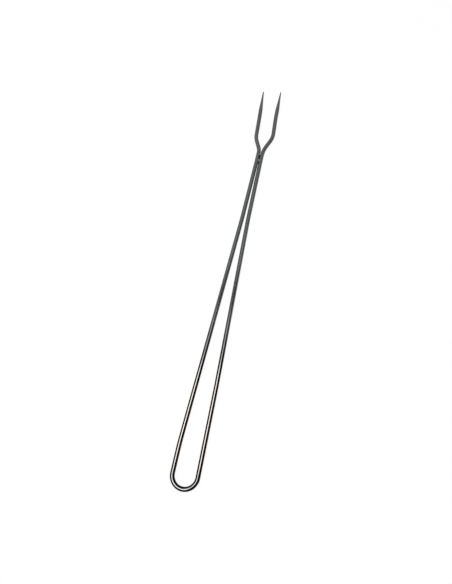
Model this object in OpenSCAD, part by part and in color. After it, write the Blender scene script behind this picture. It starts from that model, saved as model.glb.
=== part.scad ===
// Carving fork made from one round steel rod. The rod is bent back on itself at the middle, which
// makes a loop handle. Its two legs close up towards the neck, run side by side there, and then
// spread into two tines with ground points. Two spot welds hold the legs together at the neck.
//
// The fork lies flat on its rods, with the tines towards +Y and the loop towards -Y. The origin is
// under the middle of the fork, on the surface that it lies on.

/* [Rod] */
// Diameter of the round rod
rod_d = 4.4; // [3.6:0.1:4.6]

/* [Handle] */
// Length from the loop's end to the start of the neck
handle_len = 350; // [300:1:400]
// Radius of the loop's bend
loop_r = 11.6; // [9:0.1:14]
// Distance from the middle line to the right leg's knee, where the leg starts to close up more
right_knee_x = 9.6; // [8:0.1:11]
// Distance from the loop's end to the right leg's knee
right_knee_y = 97; // [60:1:140]
// Distance from the middle line to the left leg's knee
left_knee_x = 11.8; // [9:0.1:14]
// Distance from the loop's end to the left leg's knee
left_knee_y = 40; // [30:1:100]
// Distance from the loop's end to the place from which the legs run nearly side by side
slim_at = 279; // [200:1:285]
// Width at that place, between centrelines
slim_w = 6.4; // [5.5:0.1:10]
// Radius of the long gentle bends that shape the legs and tines
gentle_r = 300; // [60:10:320]

/* [Neck] */
// Length of the neck, where the legs run side by side
neck_len = 18; // [16:1:40]
// Gap that is left between the legs along the neck
neck_gap = 0.1; // [0.06:0.02:0.3]
// Distance from the start of the neck to the lower weld
lower_weld_at = 3; // [2:0.5:4]
// Distance between the two welds
weld_pitch = 8.5; // [5:0.5:9]
// Diameter of a weld's nugget of melted steel
weld_d = 4; // [3:0.1:4.1]

// In the next two sections, the widths are distances from the fork's middle line, and the rises
// are distances past the end of the neck. Both place a corner of the centreline, before a bend
// rounds it.
/* [Right tine] */
// Radius of the bend that leaves the neck
right_crotch_r = 37; // [6:1:40]
// Width of the shoulder, where the leg turns forward again
right_shoulder_x = 9.8; // [8:0.1:10.4]
// Rise of the shoulder
right_shoulder_y = 19.5; // [18:0.5:26]
// Radius of the shoulder's bend
right_shoulder_r = 28; // [6:1:34]
// Width of the place where the tine leans inwards a little less
right_middle_x = 8; // [7.6:0.1:9]
// Rise of that place
right_middle_y = 48; // [40:0.5:51]
// Width of the tip
right_tip_x = 7.1; // [6:0.1:8]
// Rise of the tip
right_tip_y = 86; // [85:1:100]

/* [Left tine] */
// Radius of the bend that leaves the neck
left_crotch_r = 17; // [6:1:28]
// Width of the shoulder, where the leg turns forward again
left_shoulder_x = 9.1; // [7.5:0.1:10]
// Rise of the shoulder
left_shoulder_y = 15.5; // [13:0.5:24]
// Radius of the shoulder's bend
left_shoulder_r = 25; // [6:1:34]
// Width of the place where the tine leans outwards a little more
left_middle_x = 10.7; // [10.2:0.1:11.4]
// Rise of that place
left_middle_y = 46; // [38:0.5:48]
// Width of the tip
left_tip_x = 13.2; // [12:0.1:14]
// Rise of the tip
left_tip_y = 82; // [80:1:100]

/* [Points] */
// Length of the ground point on each tine
point_len = 27; // [15:1:30]
// Radius left at the very tip of the right tine
right_tip_r = 0.4; // [0.2:0.05:0.8]
// Radius left at the very tip of the left tine, which is blunter
left_tip_r = 0.5; // [0.2:0.05:0.8]

/* [Hidden] */
$fn = 64;

rod_r = rod_d / 2;

// A bend reaches this far into the straights beside it, and they are this much thinner than it is,
// so that no two of their surfaces coincide.
bend_lap = 0.2;
straight_d = rod_d - 0.02;

neck_x = (rod_d + neck_gap) / 2;
neck_end = handle_len + neck_len;
fork_len = neck_end + max(right_tip_y, left_tip_y);

right_knee = [right_knee_x, right_knee_y];
left_knee = [left_knee_x, left_knee_y];

// Angle that a leg's half of the loop turns through, from the middle of the fork's end to where the
// rod points straight at the leg's knee
function loop_turn(knee) =
    let (away = knee - [0, rod_r + loop_r]) atan2(away.y, away.x) + asin(loop_r / norm(away));

// Corners of one leg's centreline, from the middle of the loop's end to the tip of the tine. The
// first number is the distance from the middle line, the second the distance from the loop's end.
function leg_corners(knee, shoulder, middle, tip) = [
    [0, rod_r],
    [loop_r * tan(loop_turn(knee) / 2), rod_r],
    knee,
    [slim_w / 2, slim_at],
    [neck_x, handle_len],
    [neck_x, neck_end],
    [shoulder.x, neck_end + shoulder.y],
    [middle.x, neck_end + middle.y],
    [tip.x, neck_end + tip.y],
];

// Radius of the bend at each of those corners. The two ends have none.
function leg_radii(crotch_r, shoulder_r) =
    [0, loop_r, gentle_r, gentle_r, gentle_r, crotch_r, shoulder_r, gentle_r, 0];

// Direction of the side that leaves corner i, in degrees from +X
function heading(corners, i) =
    let (side = corners[i + 1] - corners[i]) atan2(side.y, side.x);

// Angle that the rod turns through at corner i, positive to the left
function turn(corners, i) = heading(corners, i) - heading(corners, i - 1);

// Length of a side that the bend at corner i takes up
function setback(corners, radii, i) =
    radii[i] == 0 ? 0 : radii[i] * tan(abs(turn(corners, i)) / 2);

// Length of the straight stretch that is left between the bends at corners i and i + 1
function straight_len(corners, radii, i) =
    norm(corners[i + 1] - corners[i]) - setback(corners, radii, i) - setback(corners, radii, i + 1);

// Straight stretch that runs along +X
module straight(len) {
    rotate([0, 90, 0]) cylinder(h = len, d = straight_d);
}

// Bend that starts along +X and turns left round a centre on +Y
module bend(radius, angle) {
    lap_angle = bend_lap / radius * 180 / PI;
    translate([0, radius, 0]) rotate([0, 0, -90 - lap_angle])
        rotate_extrude(angle = angle + 2 * lap_angle)
            translate([radius, 0]) circle(d = rod_d);
}

// Moves what follows a bend from the bend's start to its end
module past_bend(radius, angle) {
    translate([0, radius, 0]) rotate([0, 0, angle]) translate([0, -radius, 0]) children();
}

// Ground point that runs along +X: a long cone with a small round tip
module point(tip_r) {
    cone_len = point_len - tip_r;
    rotate([0, 90, 0]) cylinder(h = cone_len, d1 = straight_d, d2 = 2 * tip_r);
    translate([cone_len, 0, 0]) sphere(r = tip_r);
}

// The rod from the end of the bend at corner i on, along +X: one straight, then the next bend, and
// then the rest of the rod. The last straight ends in the point.
module rod_from(corners, radii, tip_r, i) {
    last = i == len(corners) - 2;
    len = straight_len(corners, radii, i) - (last ? point_len : 0);
    straight(len);
    translate([len, 0, 0])
        if (last) point(tip_r);
        else {
            angle = turn(corners, i + 1);
            mirror([0, angle < 0 ? 1 : 0, 0]) bend(radii[i + 1], abs(angle));
            past_bend(sign(angle) * radii[i + 1], angle) rod_from(corners, radii, tip_r, i + 1);
        }
}

// Bend of the loop, which joins the two legs
module loop() {
    past_bend(loop_r, -loop_turn(left_knee))
        bend(loop_r, loop_turn(left_knee) + loop_turn(right_knee));
}

// One leg with its tine, from the end of the loop's bend on
module leg(corners, radii, tip_r) {
    past_bend(loop_r, heading(corners, 1)) rod_from(corners, radii, tip_r, 1);
}

// Nugget of a spot weld in the groove between the legs. It has melted into both rods, and shows
// as a small bead on the front and on the back.
module weld_nugget(from_loop_end) {
    translate([0, from_loop_end - fork_len / 2, rod_r]) sphere(d = weld_d);
}

// The whole bent rod, less the places where the two welds have melted into it
module bent_rod() {
    color([0.34, 0.34, 0.35]) difference() {
        translate([0, rod_r - fork_len / 2, rod_r]) {
            loop();
            leg(leg_corners(right_knee, [right_shoulder_x, right_shoulder_y],
                            [right_middle_x, right_middle_y], [right_tip_x, right_tip_y]),
                leg_radii(right_crotch_r, right_shoulder_r), right_tip_r);
            mirror([1, 0, 0])
                leg(leg_corners(left_knee, [left_shoulder_x, left_shoulder_y],
                                [left_middle_x, left_middle_y], [left_tip_x, left_tip_y]),
                    leg_radii(left_crotch_r, left_shoulder_r), left_tip_r);
        }
        weld_nugget(handle_len + lower_weld_at + weld_pitch);
        weld_nugget(handle_len + lower_weld_at);
    }
}

// Spot weld nearer the tines
module upper_weld() {
    color([0.46, 0.45, 0.44]) weld_nugget(handle_len + lower_weld_at + weld_pitch);
}

// Spot weld nearer the handle
module lower_weld() {
    color([0.46, 0.45, 0.44]) weld_nugget(handle_len + lower_weld_at);
}

bent_rod();
upper_weld();
lower_weld();
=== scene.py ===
# %% [markdown]
# # A carving fork bent from one steel rod
# The real fork is a length of round steel rod. Its ends are ground to points, it is bent back on
# itself at the middle to make a loop handle, and two spot welds hold its legs together at the neck.
# This lesson makes it in the same order: cut the rod, grind it, bend it, weld it, then finish it.

# %% Load the frame
import math

import bmesh
import bpy
import numpy as np
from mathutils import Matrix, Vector


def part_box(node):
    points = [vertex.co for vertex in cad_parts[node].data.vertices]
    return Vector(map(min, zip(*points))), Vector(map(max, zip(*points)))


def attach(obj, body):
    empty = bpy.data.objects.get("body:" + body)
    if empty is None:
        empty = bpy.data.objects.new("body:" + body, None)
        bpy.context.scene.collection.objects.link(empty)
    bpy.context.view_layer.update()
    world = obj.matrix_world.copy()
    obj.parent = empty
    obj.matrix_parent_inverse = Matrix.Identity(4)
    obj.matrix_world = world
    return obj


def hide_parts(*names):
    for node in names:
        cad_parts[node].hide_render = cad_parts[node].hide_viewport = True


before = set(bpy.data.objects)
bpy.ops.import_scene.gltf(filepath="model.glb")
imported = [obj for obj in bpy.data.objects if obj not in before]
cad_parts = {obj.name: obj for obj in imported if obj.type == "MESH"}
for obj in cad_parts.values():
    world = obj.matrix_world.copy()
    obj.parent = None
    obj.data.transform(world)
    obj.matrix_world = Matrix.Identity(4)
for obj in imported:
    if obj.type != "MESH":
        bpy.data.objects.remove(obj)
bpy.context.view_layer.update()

print("nodes in the frame:", sorted(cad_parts))

# %% [markdown]
# ## Sizes
# The frame gives what the solids already fix, such as how thick the rod is and where each weld sits.
# Only the corners of the rod's centreline are stated again, in millimetres from the middle line and
# from the loop's end, because a box can't tell them. At the neck, the two legs touch.

# %% Take the thickness from the frame
MM = 0.001
rod_low, rod_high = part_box("bent_rod")
ROD_R = (rod_high.z - rod_low.z) / 2
# The visual rod is this much thinner all round, so that it stays inside the solid.
SKIN = 0.01 * MM
ROD_MM = ROD_R / MM
print(f"the rod is {2 * ROD_MM:.1f} mm thick")

# %% The corners of the centreline, each with the radius of its bend
LOOP_R = 11.6
NECK_X = ROD_MM - SKIN / MM
GENTLE = 300
RIGHT = [
    (9.6, 97, GENTLE), (3.2, 279, GENTLE), (NECK_X, 354, GENTLE),
    (NECK_X, 368, 37), (9.8, 387.5, 28), (8, 416, GENTLE), (7.1, 453.98, 0),
]
LEFT = [
    (11.8, 40, GENTLE), (3.3, 279, GENTLE), (NECK_X, 354, GENTLE),
    (NECK_X, 368, 17), (9.1, 383.5, 25), (10.7, 414, GENTLE), (13.2, 450, 0),
]
LOOP_END = rod_low.y


def stretches(leg, side):
    """One leg as straight lengths, each with the turn and radius of the bend that follows it.
    The turn is positive to the left. The side is 1 for the right leg and -1 for the left."""
    # The loop's bend starts at the middle of the fork's end, and turns until the rod points straight
    # at the leg's first corner.
    away = Vector(leg[0][:2]) - Vector((0, ROD_MM + LOOP_R))
    loop_turn = math.atan2(away.y, away.x) + math.asin(LOOP_R / away.length)
    loop = [(0, ROD_MM, 0), (LOOP_R * math.tan(loop_turn / 2), ROD_MM, LOOP_R)]
    corners = [Vector((side * x, y)) * MM for x, y, _ in loop + leg]
    radii = [r * MM for _, _, r in loop + leg]
    sides = [b - a for a, b in zip(corners, corners[1:])]
    turns = [0, *(math.atan2(a.cross(b), a.dot(b)) for a, b in zip(sides, sides[1:])), 0]
    taken = [r * math.tan(abs(t) / 2) for r, t in zip(radii, turns)]
    return [
        (s.length - taken[i] - taken[i + 1], turns[i + 1], radii[i + 1])
        for i, s in enumerate(sides)
    ]


def leg_length(leg):
    """Length of one leg's centreline, bends included."""
    return sum(straight + abs(turn) * radius for straight, turn, radius in leg)


right_leg, left_leg = stretches(RIGHT, 1), stretches(LEFT, -1)
RIGHT_LEN, LEFT_LEN = leg_length(right_leg), leg_length(left_leg)
ROD_LEN = RIGHT_LEN + LEFT_LEN
print(f"the rod is cut {ROD_LEN / MM:.0f} mm long")

# %% [markdown]
# ## The bending path
# A smith bends a rod round pegs: straight for a while, then round a peg, and so on. The path can be
# drawn the same way, with one vertex that starts at the middle of the loop. An extrude draws each
# straight and a spin draws each bend. Tracing it with curve handles would be quicker, but then the
# bends would have no true radius.

# %% Helpers for modelling
PATH_STEP = 1 * MM
# Two places nearer to each other than this count as one.
NEAR = PATH_STEP / 10


def select(kind, wanted):
    """In edit mode, selects the elements of a kind, VERT or EDGE, for which wanted is true."""
    bpy.ops.mesh.select_mode(type=kind)
    bpy.ops.mesh.select_all(action="DESELECT")
    mesh = bmesh.from_edit_mesh(bpy.context.object.data)
    elements = {"VERT": mesh.verts, "EDGE": mesh.edges}[kind]
    chosen = [element for element in elements if wanted(element)]
    for element in chosen:
        element.select_set(True)
    bmesh.update_edit_mesh(bpy.context.object.data)


def start_line(place):
    """Adds a mesh that is one selected vertex, at place, and stays in edit mode."""
    bpy.ops.object.select_all(action="DESELECT")
    bpy.ops.mesh.primitive_circle_add(vertices=3, radius=MM, enter_editmode=True)
    bpy.ops.mesh.select_mode(type="VERT")
    bpy.ops.mesh.merge(type="CENTER")
    bpy.ops.transform.translate(value=place)


def settle(name):
    """Leaves edit mode, names the piece and moves its place into its mesh."""
    bpy.ops.object.mode_set(mode="OBJECT")
    bpy.ops.object.transform_apply(location=True, rotation=True, scale=True)
    piece = bpy.context.object
    piece.name = piece.data.name = name
    return piece


print(f"the path goes in steps of {PATH_STEP / MM:.0f} mm or less")

# %% Draw one leg of the path
def draw_leg(leg, place, angle):
    """Draws a leg on from the selected vertex, which is at place. The angle is its heading."""
    for straight, turn, radius in leg:
        ahead = Vector((math.cos(angle), math.sin(angle), 0))
        if straight > PATH_STEP:
            count = math.ceil(straight / PATH_STEP)
            bpy.ops.mesh.extrude_repeat(steps=count, offset=ahead * straight / count)
            place = place + ahead * straight
        if turn:
            signed = math.copysign(radius, turn)
            centre = place + signed * Vector((-math.sin(angle), math.cos(angle), 0))
            count = math.ceil(2 * abs(turn) * radius / PATH_STEP)
            # A spin turns clockwise round an axis that points up.
            bpy.ops.mesh.spin(steps=count, angle=-turn, center=centre, axis=(0, 0, 1))
            angle += turn
            place = centre + signed * Vector((math.sin(angle), -math.cos(angle), 0))
    return place


# %% Draw both legs and turn the line into a curve
crown = Vector((0, LOOP_END + ROD_R, ROD_R))
start_line(crown)
right_tip = draw_leg(right_leg, crown, 0)
select("VERT", lambda vertex: (vertex.co - crown).length < NEAR)
left_tip = draw_leg(left_leg, crown, math.pi)
bending_path = settle("bending_path")
bpy.ops.object.convert(target="CURVE")
bending_path = bpy.context.object
print("right tip at", [round(c / MM, 1) for c in right_tip])
print("left tip at", [round(c / MM, 1) for c in left_tip])

# %% Let the curve run from the left tip to the right one
if bending_path.data.splines[0].points[0].co.x > 0:
    bpy.ops.object.mode_set(mode="EDIT")
    bpy.ops.curve.select_all(action="SELECT")
    bpy.ops.curve.switch_direction()
    bpy.ops.object.mode_set(mode="OBJECT")
bending_path.data.twist_mode = "Z_UP"
bending_path.data.use_deform_bounds = True
bending_path.data.use_stretch = True
print("the path has", len(bending_path.data.splines[0].points), "points")

# %% [markdown]
# ## The straight rod
# On the real fork this is a length of drawn steel rod, cut from the coil. A cylinder is the same
# thing, and 32 sides look round at this thickness. Its long edges are cut into rings about one
# millimetre apart, because a modifier can only bend it where it has rings.

# %% Cut the rod
SIDES = 32
ROD_MIDDLE = (RIGHT_LEN - LEFT_LEN) / 2
bpy.ops.object.select_all(action="DESELECT")
bpy.ops.mesh.primitive_cylinder_add(
    vertices=SIDES, radius=ROD_R - SKIN, depth=ROD_LEN,
    location=(ROD_MIDDLE, 0, 0), rotation=(0, math.pi / 2, 0),
)
rod = settle("steel_rod")
print("the rod has", SIDES, "sides")

# %% Cut it into rings
CUTS = 30
CUTTING_ROUNDS = 2


def runs_lengthwise(edge):
    """Whether an edge of the straight rod runs along it."""
    a, b = (vertex.co for vertex in edge.verts)
    return abs(a.x - b.x) > NEAR


bpy.ops.object.mode_set(mode="EDIT")
for _ in range(CUTTING_ROUNDS):
    select("EDGE", runs_lengthwise)
    bpy.ops.mesh.subdivide(number_cuts=CUTS)
print("rings along the rod:", (CUTS + 1) ** CUTTING_ROUNDS + 1)

# %% [markdown]
# ## The ground points
# Each end was held to a grinding wheel and turned, which leaves a long cone with a small blunt tip.
# Scaling the end down with linear proportional editing draws out exactly that cone: the cap shrinks
# all the way, and the rings behind it shrink less and less. Moving every ring by hand would do the
# same with far more work.

# %% Grind the two points
POINT_LEN = 27 * MM
RIGHT_TIP_R = 0.4 * MM
LEFT_TIP_R = 0.5 * MM
# Part of a tip's radius that is rounded off
TIP_ROUNDING = 0.8


def grind_point(end_x, tip_r):
    """Draws the end of the rod at end_x out to a cone, and rounds its tip."""
    select("VERT", lambda vertex: abs(vertex.co.x - end_x) < NEAR)
    shrink = tip_r / ROD_R
    bpy.ops.transform.resize(
        value=(1, shrink, shrink), center_override=(end_x, 0, 0), use_proportional_edit=True,
        proportional_edit_falloff="LINEAR", proportional_size=POINT_LEN,
    )
    select("EDGE", lambda edge: all(abs(v.co.x - end_x) < NEAR for v in edge.verts))
    bpy.ops.mesh.bevel(offset=TIP_ROUNDING * tip_r, segments=4, profile=0.5)


grind_point(RIGHT_LEN, RIGHT_TIP_R)
grind_point(-LEFT_LEN, LEFT_TIP_R)
bpy.ops.object.mode_set(mode="OBJECT")
print("the rod has", len(rod.data.vertices), "vertices")

# %% [markdown]
# ## Marks that follow the rod
# Drawing lines run along the rod, and the grinding marks run round its points. Once it is bent, a
# pattern on plain coordinates would run straight through the bends. So the straight rod's own
# coordinates are kept on the mesh as an attribute, which the material reads later.

# %% Keep the straight rod's coordinates
STRAIGHT = "straight_rod"


def vertex_places(piece):
    """The coordinates of a piece's vertices, as one long row of numbers."""
    places = np.empty(len(piece.data.vertices) * 3, np.float32)
    piece.data.vertices.foreach_get("co", places)
    return places


straight_rod = rod.data.attributes.new(STRAIGHT, "FLOAT_VECTOR", "POINT")
straight_rod.data.foreach_set("vector", vertex_places(rod))
print("kept", len(straight_rod.data), "places")

# %% [markdown]
# ## Bending the rod
# The Curve modifier bends the rod along the path, the way the pegs do, and keeps its thickness.
# With Stretch on, the rod's two ends land on the path's two ends.

# %% Bend it
def apply_modifier(piece, kind, **settings):
    """Adds a modifier with these settings to the active piece, and applies it."""
    modifier = piece.modifiers.new(kind.title(), kind)
    for setting, value in settings.items():
        setattr(modifier, setting, value)
    bpy.ops.object.modifier_apply(modifier=modifier.name)


apply_modifier(rod, "CURVE", object=bending_path, deform_axis="POS_X")
bpy.data.objects.remove(bending_path)
bpy.ops.object.shade_smooth()
places = vertex_places(rod).reshape(-1, 3)
print("bent rod, mm:", np.round(places.min(0) / MM, 2), "to", np.round(places.max(0) / MM, 2))
print("CAD rod, mm: ", [round(c / MM, 2) for c in rod_low], "to", [round(c / MM, 2) for c in rod_high])

# %% [markdown]
# ## The welds
# Two short welds join the legs at the neck. Each is a puddle of steel that filled the groove
# between the rods, on the front and on the back, and set in ripples round a small crater. A puddle
# is round, so half its outline is drawn and spun round a vertical axis.

# %% The outline of a bead
weld_low, weld_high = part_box("upper_weld")
WELD_R = (weld_high.z - weld_low.z) / 2
# A bluntness of 2 would make a plain ball, and more flattens its top.
BLUNTNESS = 4
RIPPLES = 3
RIPPLE_HEIGHT = 0.05 * MM
CRATER_DEPTH = 0.16 * MM
CRATER_REACH = 0.3


def bead_height(reach):
    """Height of the puddle at a reach from its middle, from 0 to 1 times its radius."""
    dome = (1 - reach ** BLUNTNESS) ** (1 / BLUNTNESS)
    ripple = RIPPLE_HEIGHT * (math.cos(2 * math.pi * RIPPLES * reach) - 1)
    crater = CRATER_DEPTH * max(0, 1 - reach / CRATER_REACH) ** 2
    return WELD_R * dome + ripple * dome - crater


print(f"the crater's floor lies {(WELD_R - bead_height(0)) / MM:.2f} mm below the top of the ball")

# %% Spin both beads
OUTLINE_STEPS = 24
TURN_STEPS = 40
MERGE_WITHIN = 0.001 * MM


def make_bead(name, node):
    """Makes one bead, at the place of a weld of the frame."""
    low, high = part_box(node)
    centre = (low + high) / 2
    reaches = [math.sin(math.pi / 2 * i / OUTLINE_STEPS) for i in range(OUTLINE_STEPS + 1)]
    outline = [Vector((WELD_R * r, 0, bead_height(r))) for r in reaches]
    outline += [Vector((p.x, 0, -p.z)) for p in reversed(outline[:-1])]
    start_line(centre + outline[0])
    for a, b in zip(outline, outline[1:]):
        bpy.ops.mesh.extrude_region_move(TRANSFORM_OT_translate={"value": b - a})
    bpy.ops.mesh.select_all(action="SELECT")
    bpy.ops.mesh.spin(steps=TURN_STEPS, angle=2 * math.pi, center=centre, axis=(0, 0, 1))
    bpy.ops.mesh.select_all(action="SELECT")
    bpy.ops.mesh.remove_doubles(threshold=MERGE_WITHIN)
    bpy.ops.mesh.normals_make_consistent(inside=False)
    return settle(name)


beads = [make_bead("upper_bead", "upper_weld"), make_bead("lower_bead", "lower_weld")]
print("beads of", [len(bead.data.vertices) for bead in beads], "vertices")

# %% [markdown]
# ## Uneven beads
# No puddle sets perfectly round. A Displace modifier with a Clouds texture pushes the beads' skin in
# at random, deeper here and less there, and does it the same way each time. Sculpting by hand would
# look as good, but it would have to be done again for each bead.

# %% Make the beads uneven
DENT_SIZE = 1.1 * MM
DENT_DEPTH = 0.35 * MM

clouds = bpy.data.textures.new("puddle", "CLOUDS")
clouds.noise_scale = DENT_SIZE
clouds.noise_depth = 2

for bead in beads:
    bpy.ops.object.select_all(action="DESELECT")
    bead.select_set(True)
    bpy.context.view_layer.objects.active = bead
    # With the middle level at 1, the clouds only ever push inwards.
    apply_modifier(bead, "DISPLACE", texture=clouds, strength=DENT_DEPTH, mid_level=1)
    bpy.ops.object.shade_smooth()
    places = vertex_places(bead).reshape(-1, 3)
    print(bead.name, "mm:", np.round(places.min(0) / MM, 2), "to", np.round(places.max(0) / MM, 2))

# %% [markdown]
# ## Shader maths
# A material is easier to read as sums than as a web of nodes. This small class holds one socket and
# lets Python's operators work on it: each one adds a Math node. All other nodes come from one
# method, which sets a node's settings first and then its inputs.

# %% A socket that works in sums
class Number:
    """A socket in a node tree. Each operator on it adds one Math node."""

    def __init__(self, finish, socket):
        self.finish = finish
        self.socket = socket

    def math(self, operation, *others, **settings):
        """Adds a Math node whose first value is this one."""
        values = dict(enumerate((self, *others)))
        return self.finish.node("Math", values, operation=operation, **settings)

    def __add__(self, other):
        return self.math("ADD", other)

    def __sub__(self, other):
        return self.math("SUBTRACT", other)

    def __mul__(self, other):
        return self.math("MULTIPLY", other)

    def __rsub__(self, other):
        return self.math("MULTIPLY_ADD", -1, other)

    def __abs__(self):
        return self.math("ABSOLUTE")

    def at_least(self, other):
        return self.math("MAXIMUM", other)

    __radd__ = __add__
    __rmul__ = __mul__


# %% A node tree under construction
CLOUD_ROUGHNESS = 0.55


class Finish:
    """The node tree of a material or of the world."""

    def __init__(self, owner):
        owner.use_nodes = True
        owner.node_tree.nodes.clear()
        self.tree = owner.node_tree

    def node(self, kind, inputs=None, output=0, **settings):
        """Adds a node and gives one of its outputs. The inputs go by name or by number."""
        node = self.tree.nodes.new("ShaderNode" + kind)
        for setting, value in settings.items():
            setattr(node, setting, value)
        for name, value in (inputs or {}).items():
            if isinstance(value, Number):
                self.tree.links.new(value.socket, node.inputs[name])
            else:
                node.inputs[name].default_value = value
        return Number(self, node.outputs[output]) if node.outputs else None

    def mix(self, factor, a, b):
        """A colour between a and b. The node also has inputs and outputs for other kinds of value,
        so that its colours are inputs 6 and 7 and output 2."""
        return self.node("Mix", {0: factor, 6: a, 7: b}, output=2, data_type="RGBA")

    def shades(self, factor, dark, light, tint=(1, 1, 1)):
        """A grey between a dark one and a light one, with one tint."""
        return self.mix(factor, grey(dark, *tint), grey(light, *tint))

    def step(self, value, start, end, low=0, high=1):
        """Goes smoothly from low to high while value goes from start to end."""
        inputs = {"Value": value, "From Min": start, "From Max": end, "To Min": low, "To Max": high}
        return self.node("MapRange", inputs, interpolation_type="SMOOTHSTEP")

    def split(self, vector):
        """The three numbers of a vector."""
        node = self.node("SeparateXYZ", {"Vector": vector}).socket.node
        return [Number(self, socket) for socket in node.outputs]

    def stretch(self, vector, factors):
        """A place times three factors. Those under 1 draw a pattern out."""
        return self.node("VectorMath", {0: vector, 1: factors}, operation="MULTIPLY")

    def noise(self, vector, per_metre, detail=4):
        """A cloudy pattern from 0 to 1, with about this many clouds to the metre."""
        inputs = {
            "Vector": vector, "Scale": per_metre, "Detail": detail, "Roughness": CLOUD_ROUGHNESS,
        }
        return self.node("TexNoise", inputs)


def grey(value, red=1, green=1, blue=1):
    """A grey of this lightness, tinted by the three factors."""
    return (value * red, value * green, value * blue, 1)


# %% [markdown]
# ## Painted shade beside the welds
# In the groove, on the handle's side of each weld, a dark spot that runs over the rod and the bead is
# painted shade, for the shadow that falls in the groove below the weld. Its mask is a stretched ball
# with a ragged edge. It comes from a function, because the rod's steel and the welds' steel share it.

# %% Mask of the painted shade
SHADE_SPOT_HALF_WIDTH = 0.9 * MM
# This black is painted shade, for the shadow in the groove below each weld.
PAINTED_SHADE_BLACK = grey(0.012)
SPECKS_PER_METRE = 1100
RAGGED = 0.6
# Where a spot has ended and where it is full, as parts of its half size
SPOT_END, SPOT_FULL = 1.2, 0.8
# How far each spot's middle lies from its weld, towards the handle, and half the spot's length
PAINTED_SHADE_SPOTS = {"upper_weld": (3.2 * MM, 2.6 * MM), "lower_weld": (2.4 * MM, 1.9 * MM)}


def painted_weld_shade(finish, place, specks):
    """Mask of painted shade, 1 in the groove on the handle's side of each weld. The specks make it
    ragged.
    """
    masks = []
    for node, (shift, half_length) in PAINTED_SHADE_SPOTS.items():
        middle = sum(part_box(node), Vector()) / 2 - Vector((0, shift, 0))
        shrink = (1 / SHADE_SPOT_HALF_WIDTH, 1 / half_length, 0)
        inputs = {0: finish.stretch(place, shrink), 1: [c * s for c, s in zip(middle, shrink)]}
        reach = finish.node("VectorMath", inputs, output="Value", operation="DISTANCE")
        masks.append(finish.step(reach + RAGGED * (specks - 0.5), SPOT_END, SPOT_FULL))
    return masks[0].at_least(masks[1])


# The spots counted here are painted shade.
print("spots of scale:", len(PAINTED_SHADE_SPOTS))

# %% [markdown]
# ## Metal under painted shade
# Bare steel is metal all through. Where the mask of painted shade is 1, the metal is turned off,
# painted nearly black and roughened, so that it reads as matt shade. A clean metal mirrors nearly
# everything at a grazing angle. Years of grease and fine scratches dull that, which a grey Specular
# Tint gives.

# %% Shader for both steels
EDGE_TINT = 0.5
SHADE_ROUGHENS = 0.3


def metal_with_painted_shade(finish, colour, roughness, normal, scale):
    """Ends a material with a metal of this colour, under painted shade wherever the last mask, scale,
    is 1.
    """
    # Where the last mask is 1, the colour is painted shade: nearly black, matt and not metal.
    shader = finish.node("BsdfPrincipled", {
        "Base Color": finish.mix(scale, colour, PAINTED_SHADE_BLACK),
        "Metallic": 1 - scale,
        "Roughness": roughness + SHADE_ROUGHENS * scale,
        "Normal": normal,
        "Specular Tint": grey(EDGE_TINT),
    })
    finish.node("OutputMaterial", {"Surface": shader})


# %% [markdown]
# ## Patterns in the rod's steel
# Drawing leaves fine lines along a rod, grinding leaves rings round a point, and use leaves pits,
# blotches and smudges. Each is noise on the straight rod's own coordinates, stretched along the rod
# for the lines and round it for the rings. A painted image would have to be unwrapped first, and
# blurs up close.

# %% Start the rod's material with its patterns
ALONG_THE_ROD = (0.02, 1, 1)
ROUND_THE_ROD = (1, 0.05, 0.05)
SMEARED = (0.4, 1, 1)
PIT_EDGE, PIT_FLOOR = 0.68, 0.74

rod_material = bpy.data.materials.new("drawn_steel")
steel = Finish(rod_material)
straight_place = steel.node("Attribute", attribute_name=STRAIGHT, output="Vector")
lines = steel.noise(steel.stretch(straight_place, ALONG_THE_ROD), per_metre=2600)
rings = steel.noise(steel.stretch(straight_place, ROUND_THE_ROD), per_metre=3500)
smudges = steel.noise(steel.stretch(straight_place, SMEARED), per_metre=900)
pits = steel.step(steel.noise(straight_place, per_metre=1300, detail=1), PIT_EDGE, PIT_FLOOR)
blotches = steel.noise(straight_place, per_metre=160)
patches = steel.noise(straight_place, per_metre=36, detail=2)
print("nodes for the patterns:", len(steel.tree.nodes))

# %% [markdown]
# ## Where the finishes change
# Hands have worn the lower handle to a gloss. Part of it is tinted a little brown, which is a
# painted reflection of something warm. Further up, the steel is as flat and grey as it was drawn, and
# its ends are ground to points, with burnt tips. Each change is a mask on the distance from the middle
# of the loop. The patches make its edge ragged, because a straight edge would look painted.

# %% Masks along the rod
# The brown between these distances is a painted reflection of something warm.
BROWN_START, BROWN_FULL = 16 * MM, 32 * MM
BROWN_FADES, BROWN_END = 95 * MM, 145 * MM
# The painted shade on the handle's sides fades out between these two distances.
BLACK_FADES, BLACK_END = 120 * MM, 180 * MM
GLOSS_FADES, GLOSS_END = 180 * MM, 250 * MM
LEGS_FADE, LEGS_END = 360 * MM, 380 * MM
GROUND_FROM, GROUND_FULL = POINT_LEN + 2 * MM, POINT_LEN - 3 * MM
BURNT_FROM, BURNT_FULL = 12 * MM, 1 * MM
PATCH_SHIFT = 30 * MM

along, across, up = steel.split(straight_place)
distance = abs(along) + (patches - 0.5) * PATCH_SHIFT
brown_part = steel.step(distance, BROWN_START, BROWN_FULL)
brown_part = brown_part * steel.step(distance, BROWN_END, BROWN_FADES)
glossy = steel.step(distance, GLOSS_END, GLOSS_FADES)
in_legs = steel.step(distance, LEGS_END, LEGS_FADE)

from_tip = ROD_LEN / 2 - abs(along - ROD_MIDDLE)
ground = steel.step(from_tip, GROUND_FROM, GROUND_FULL)
burnt = steel.step(from_tip, BURNT_FROM, BURNT_FULL)
print("nodes with the masks:", len(steel.tree.nodes))
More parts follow.
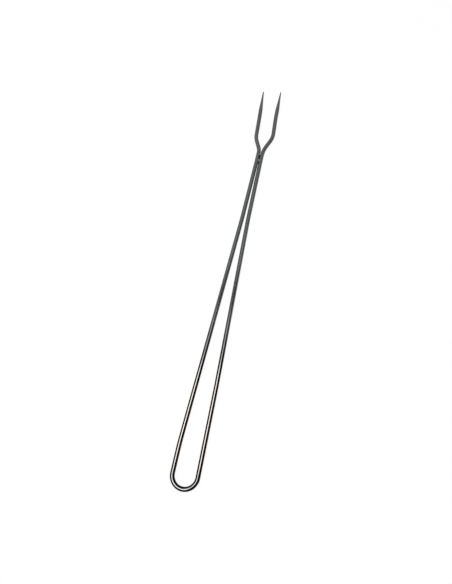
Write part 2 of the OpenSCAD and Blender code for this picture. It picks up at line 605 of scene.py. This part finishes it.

# %% [markdown]
# ## The painted shade on the sides
# On the lower handle, the sides of the rod are painted near black, and its top and bottom are not.
# This black is painted shade, and it makes the bright line on the lower handle stand out. Round the
# loop it comes further up on the inside of the left half and on the outside of the right half, so the
# mask is tilted there. On the right half, it also reaches a little over the top.

# %% Mask of the painted shade on the sides
CROWN_FADES, CROWN_END = 18 * MM, 34 * MM
INSIDE_TO, OUTSIDE_FROM = -2 * MM, 8 * MM
OVER_FROM, OVER_FULL = 2 * MM, 10 * MM
TILT = 0.7
REACHES_OVER = 0.12 * ROD_R
# Above the first height round the rod there is no painted shade, and below the second it is full.
UNSHADED_TO, BLACK_FROM = 0.98 * ROD_R, 0.86 * ROD_R

in_crown = steel.step(abs(along), CROWN_END, CROWN_FADES)
black_side = across * steel.step(along, INSIDE_TO, OUTSIDE_FROM, low=1, high=-1)
black_side = black_side + REACHES_OVER * steel.step(along, OVER_FROM, OVER_FULL)
crest = abs(up) - TILT * in_crown * black_side.at_least(0)
# The painted shade: the sides of the lower handle are painted near black.
painted_side_shade = steel.step(distance, BLACK_END, BLACK_FADES) * steel.step(crest, UNSHADED_TO, BLACK_FROM)
print("nodes with the patina:", len(steel.tree.nodes))

# %% [markdown]
# ## The colours of the rod
# Grey steel is never one grey. The legs have a faint cool tint, the head has none, the pits are
# dark, and the ground points follow their rings. On the handle, the masks turn the worn steel brown,
# which is a painted reflection of something warm, and black, which is painted shade. Apart from the
# pits, the two greys of a pair are close together, because strong contrast looks like rust.

# %% Colours of the bare steel
COOL = (0.97, 1.03, 1.01)
PIT_GREY, BURNT_GREY = grey(0.03), grey(0.02)
PITS_DARKEN, BURNT_DARKENS = 0.6, 0.9

grain = 0.5 * (blotches + lines)
head_grey = steel.shades(grain, dark=0.103, light=0.163)
leg_grey = steel.shades(grain, dark=0.103, light=0.163, tint=COOL)
bare = steel.mix(in_legs, head_grey, leg_grey)
bare = steel.mix(PITS_DARKEN * pits, bare, PIT_GREY)
ring_grey = steel.shades(rings, dark=0.11, light=0.16)
tip_grey = steel.mix(BURNT_DARKENS * burnt, ring_grey, BURNT_GREY)
bare = steel.mix(ground, bare, tip_grey)
print("nodes with the bare steel:", len(steel.tree.nodes))

# %% Colours of the worn handle
# Both tints are painted reflection colours: faint green on the worn steel, warm brown on the black.
FAINT_GREEN = (0.985, 1.015, 1)
BLACK_BROWN = (1.5, 0.87, 0.4)

stains = 0.5 * (blotches + smudges)
worn = steel.shades(stains, dark=0.12, light=0.18, tint=FAINT_GREEN)
# This brown is a painted reflection of something warm.
brown = steel.mix(stains, grey(0.15, red=1.06, blue=0.94), grey(0.23, red=1.10, blue=0.93))
# These blacks are painted shade on the handle's sides.
grey_black = steel.shades(blotches, dark=0.009, light=0.016)
brown_black = steel.shades(blotches, dark=0.010, light=0.017, tint=BLACK_BROWN)
black = steel.mix(brown_part, grey_black, brown_black)
# Where its mask is 1, the handle gets the painted shade.
handle = steel.mix(painted_side_shade, steel.mix(brown_part, worn, brown), black)
print("nodes with the colours:", len(steel.tree.nodes))

# %% [markdown]
# ## Gloss and relief
# The bare steel scatters light and the handle mirrors it, so the roughness falls from one to the
# other, with a little unevenness. The marks and pits also go into a Bump node, a few hundredths of
# a millimetre deep, and wear has mostly smoothed them away on the handle. The painted shade beside
# the welds covers all of this.

# %% Finish the rod's steel
BARE_ROUGHNESS, WORN_ROUGHNESS = 0.46, 0.12
BLOTCHES_ROUGHEN, LINES_ROUGHEN, SMUDGES_ROUGHEN = 0.08, 0.06, 0.12
RELIEF = 0.02 * MM
RELIEF_STRENGTH = 0.25
BLOTCH_HEIGHT = 0.6
WEAR_SMOOTHS = 0.7

roughness = BARE_ROUGHNESS - (BARE_ROUGHNESS - WORN_ROUGHNESS) * glossy
roughness = roughness + BLOTCHES_ROUGHEN * (blotches - 0.5) + LINES_ROUGHEN * (lines - 0.5)
roughness = roughness + SMUDGES_ROUGHEN * glossy * (smudges - 0.5)
marks = steel.mix(ground, lines, rings)
height = (marks + BLOTCH_HEIGHT * blotches - pits) * (1 - WEAR_SMOOTHS * glossy)
normal = steel.node("Bump", {"Height": height, "Strength": RELIEF_STRENGTH, "Distance": RELIEF})
bent_place = steel.node("TexCoord", output="Object")
# The rod's mask of painted shade, a dark spot in the groove below each weld.
rod_shade = painted_weld_shade(steel, bent_place, steel.noise(bent_place, SPECKS_PER_METRE))
metal_with_painted_shade(steel, steel.mix(glossy, bare, handle), roughness, normal, rod_shade)
print("nodes in the rod's steel:", len(steel.tree.nodes))

# %% [markdown]
# ## The steel of the welds
# Weld metal sets clean under its slag, so the beads are lighter and smoother than the drawn steel.
# Their ripples and craters are in the mesh, and the material adds only specks, small bumps and the
# painted shade.

# %% Weld steel
FAINT_YELLOW = (1, 0.99, 0.98)
WELD_ROUGHNESS, SPECKS_ROUGHEN = 0.36, 0.2
BUMP_HEIGHT = 0.05 * MM
BUMP_STRENGTH = 0.3

weld_material = bpy.data.materials.new("weld_steel")
weld = Finish(weld_material)
weld_place = weld.node("TexCoord", output="Object")
specks = weld.noise(weld_place, SPECKS_PER_METRE)
clean = weld.shades(specks, dark=0.16, light=0.30, tint=FAINT_YELLOW)
uneven = WELD_ROUGHNESS + SPECKS_ROUGHEN * (specks - 0.5)
bumps = weld.node("Bump", {"Height": specks, "Strength": BUMP_STRENGTH, "Distance": BUMP_HEIGHT})
# The beads get the same painted shade below each weld.
metal_with_painted_shade(weld, clean, uneven, bumps, painted_weld_shade(weld, weld_place, specks))
print("nodes in the weld steel:", len(weld.tree.nodes))

# %% [markdown]
# ## Putting the pieces in the frame
# Each piece rides on the fork's one body and stands for the CAD solid of the same place, which is
# then hidden.

# %% Fit the pieces to the frame
rod.data.materials.append(rod_material)
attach(rod, "root")
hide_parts("bent_rod")
for bead, node in zip(beads, ("upper_weld", "lower_weld")):
    bead.data.materials.append(weld_material)
    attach(bead, "root")
    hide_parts(node)
print("pieces:", rod.name, *(bead.name for bead in beads))

# %% [markdown]
# ## The floor
# The fork lies on a plain white surface. To the camera and in reflections the surface mostly shines
# white by itself, so that the background is white, and the rest of it is plain matt white, which
# keeps the fork's soft shadow.

# %% Lay the floor
FLOOR_SIZE = 8
MATT_WHITE = grey(0.9)
OWN_WHITE = 0.92
SEEING_RAYS = ("Is Camera Ray", "Is Glossy Ray", "Is Transmission Ray")

bpy.ops.object.select_all(action="DESELECT")
bpy.ops.mesh.primitive_plane_add(size=FLOOR_SIZE)
floor = settle("floor")
floor_material = bpy.data.materials.new("floor_white")
surface = Finish(floor_material)
camera_ray, glossy_ray, through_ray = [surface.node("LightPath", output=o) for o in SEEING_RAYS]
seen = (camera_ray + glossy_ray).math("ADD", through_ray, use_clamp=True)
matt = surface.node("BsdfDiffuse", {"Color": MATT_WHITE})
glow = surface.node("Emission", {"Color": grey(1), "Strength": 1})
white = surface.node("MixShader", {0: seen * OWN_WHITE, 1: matt, 2: glow})
surface.node("OutputMaterial", {"Surface": white})
floor.data.materials.append(floor_material)
print("floor:", FLOOR_SIZE, "m wide")

# %% [markdown]
# ## The light
# The room is dark overhead, and pale round the horizon and on the far side. So the tines mirror the
# pale side and look flat grey, and the handle mirrors the dark ceiling. A large softbox hangs above
# the handle, mostly to the left, with a dimmer one beyond it. Their mirror image is the bright line
# along the handle, which fades out towards the neck. The room's own light goes by direction only,
# so it needs no walls.

# %% Light the room by direction
CEILING = 0.11
PALE = 0.96
# A direction's reach ahead and its height are 1 for straight ahead and straight up. The far side
# turns pale between the first two reaches, and the horizon between the next two heights. The last
# two numbers slant those edges from left to right.
FAR_FROM, FAR_FULL = 0.44, 0.56
LOW_FROM, LOW_FULL = 0.60, 0.38
FAR_SLANT, LOW_SLANT = 0.05, 0.15

world = bpy.data.worlds.new("room")
bpy.context.scene.world = world
room = Finish(world)
right, ahead, overhead = room.split(room.node("TexCoord", output="Generated"))
far = room.step(ahead - FAR_SLANT * right, FAR_FROM, FAR_FULL)
low = room.step(overhead + LOW_SLANT * right, LOW_FROM, LOW_FULL)
strength = CEILING + (PALE - CEILING) * far.at_least(low)
light = room.node("Background", {"Color": grey(1), "Strength": strength})
room.node("OutputWorld", {"Surface": light})
print("room: from", CEILING, "overhead to", PALE, "at the horizon")

# %% Hang the two soft lamps
LAMP_HEIGHT = 2.7


def hang_lamp(name, left, right, near, far, radiance):
    """Hangs a flat lamp with these four edges, which shines straight down."""
    middle = ((left + right) / 2, (near + far) / 2, LAMP_HEIGHT)
    bpy.ops.object.light_add(type="AREA", location=middle)
    lamp = bpy.context.object
    lamp.name = name
    lamp.data.shape = "RECTANGLE"
    lamp.data.size, lamp.data.size_y = right - left, far - near
    lamp.data.energy = radiance * math.pi * (right - left) * (far - near)
    lamp.visible_camera = False
    print(f"{name}: {lamp.data.energy:.2f} W")


hang_lamp("softbox", left=-1.60, right=0.18, near=-1.60, far=0.44, radiance=5.8)
hang_lamp("dim_softbox", left=-1.60, right=0.55, near=0.44, far=0.82, radiance=2.1)

# %% [markdown]
# ## The camera
# The photograph was taken from above the handle's end, looking forward and down at 70 degrees, and
# a little turned, so the fork runs from the lower left to the upper right.

# %% Place the camera
CAMERA_PLACE = (0.0350, -0.2022, 0.4736)
CAMERA_DOWN = 70
CAMERA_TURN = 12.46
LENS = 30.43
bpy.ops.object.camera_add(
    location=CAMERA_PLACE,
    rotation=(math.radians(90 - CAMERA_DOWN), 0, math.radians(CAMERA_TURN)),
)
camera = bpy.context.object
camera.name = "camera"
camera.data.lens = LENS
bpy.context.scene.camera = camera
bpy.context.scene.view_settings.view_transform = "Standard"
print("camera:", round(math.dist(CAMERA_PLACE, (0, 0, 0)), 3), "m from the fork's middle")
